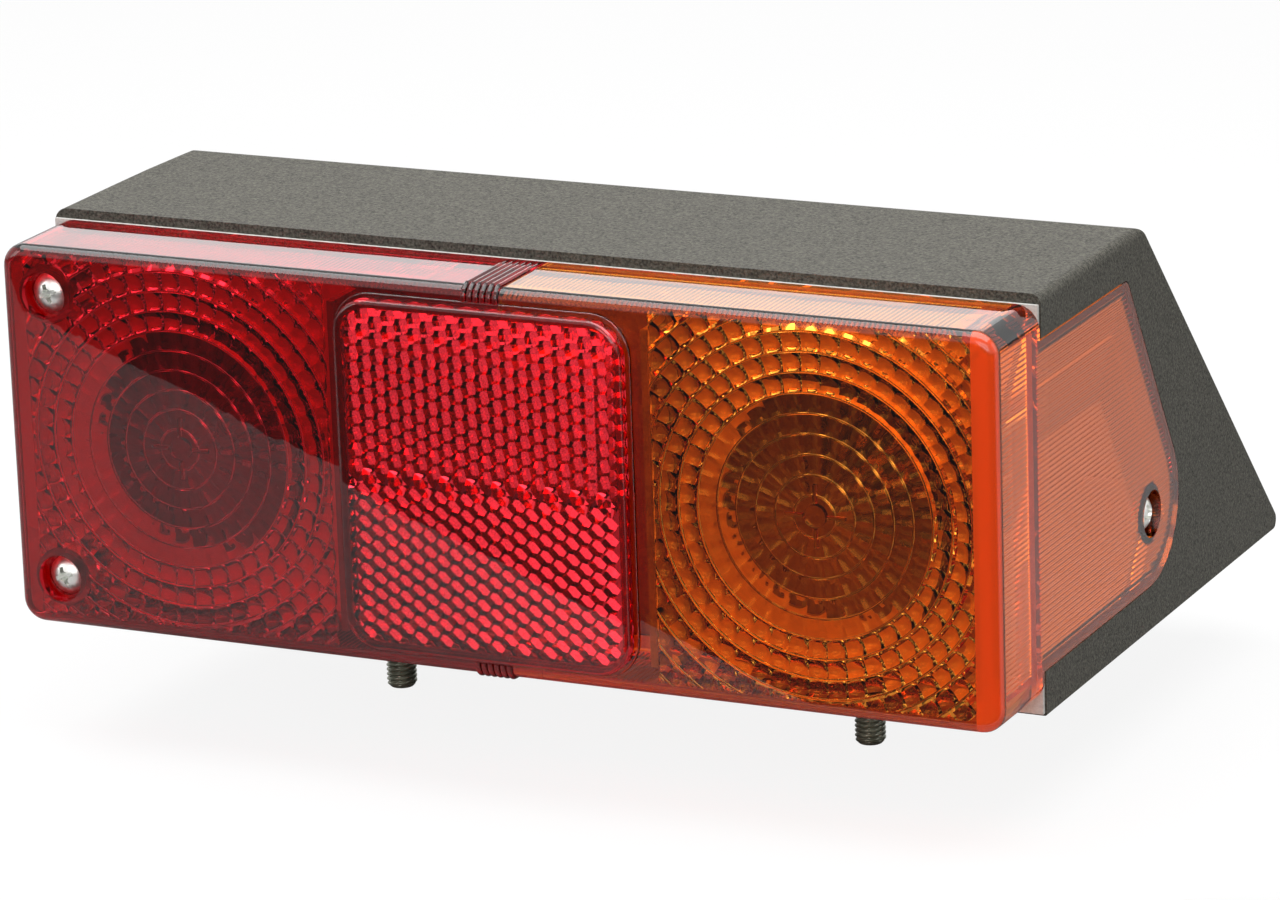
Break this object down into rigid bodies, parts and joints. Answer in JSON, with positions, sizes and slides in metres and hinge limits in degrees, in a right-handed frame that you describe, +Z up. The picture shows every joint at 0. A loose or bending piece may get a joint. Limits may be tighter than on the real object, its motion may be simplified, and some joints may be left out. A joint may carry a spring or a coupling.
{
  "type": "tail light cluster",
  "caption": "Rear lamp for the right side: red tail and stop lens, reflex reflector and amber indicator lens with a side window, on a black wedge housing held by studs.",
  "frame": {"origin": "on the underside of the housing, midway between the two mounting studs", "axes": "+X along the lens towards the side window, +Y from the lens face to the back, +Z up"},
  "size_m": [0.266, 0.1925, 0.134],
  "materials": {
    "housing_black": "matte, fine grain",
    "lens_red": "clear red, gloss",
    "lens_amber": "clear amber, gloss",
    "reflector_red": "clear red with a prism back",
    "gasket_grey": "light grey foam",
    "zinc": "bright zinc plate",
    "stud_steel": "dull steel",
    "brass": "plain",
    "carrier_grey": "dark grey, satin",
    "bulb_glass": "clear",
    "tungsten": "dull wire",
    "insulator_brown": "pressed board",
    "block_black": "satin",
    "grommet_rubber": "matte",
    "lead_yellow": "satin",
    "lead_red": "satin",
    "lead_green": "satin",
    "lead_brown": "satin"
  },
  "bodies": {
    "root": {"housing": "housing_black", "red_lens": "lens_red", "amber_lens": "lens_amber", "reflex_reflector": "reflector_red", "lens_gasket": "gasket_grey", "lens_screws": "zinc", "screw_inserts": "brass", "bulb_carrier": "carrier_grey", "carrier_screws": "zinc", "tail_bulb_glass": "bulb_glass", "tail_bulb_cap": "brass", "tail_filaments": "tungsten", "tail_socket": "zinc", "tail_insulator": "insulator_brown", "tail_contacts": "brass", "indicator_bulb_glass": "bulb_glass", "indicator_bulb_cap": "brass", "indicator_filament": "tungsten", "indicator_socket": "zinc", "indicator_insulator": "insulator_brown", "indicator_contact": "brass", "socket_rivets": "zinc", "terminal_block": "block_black", "terminal_tubes": "brass", "terminal_screws": "zinc", "block_screws": "zinc", "cable_grommet": "grommet_rubber", "spreader_plate": "zinc", "mount_studs": "stud_steel", "tail_lead": "lead_yellow", "stop_lead": "lead_red", "indicator_lead": "lead_green", "earth_leads": "lead_brown"}
  },
  "joints": []
}
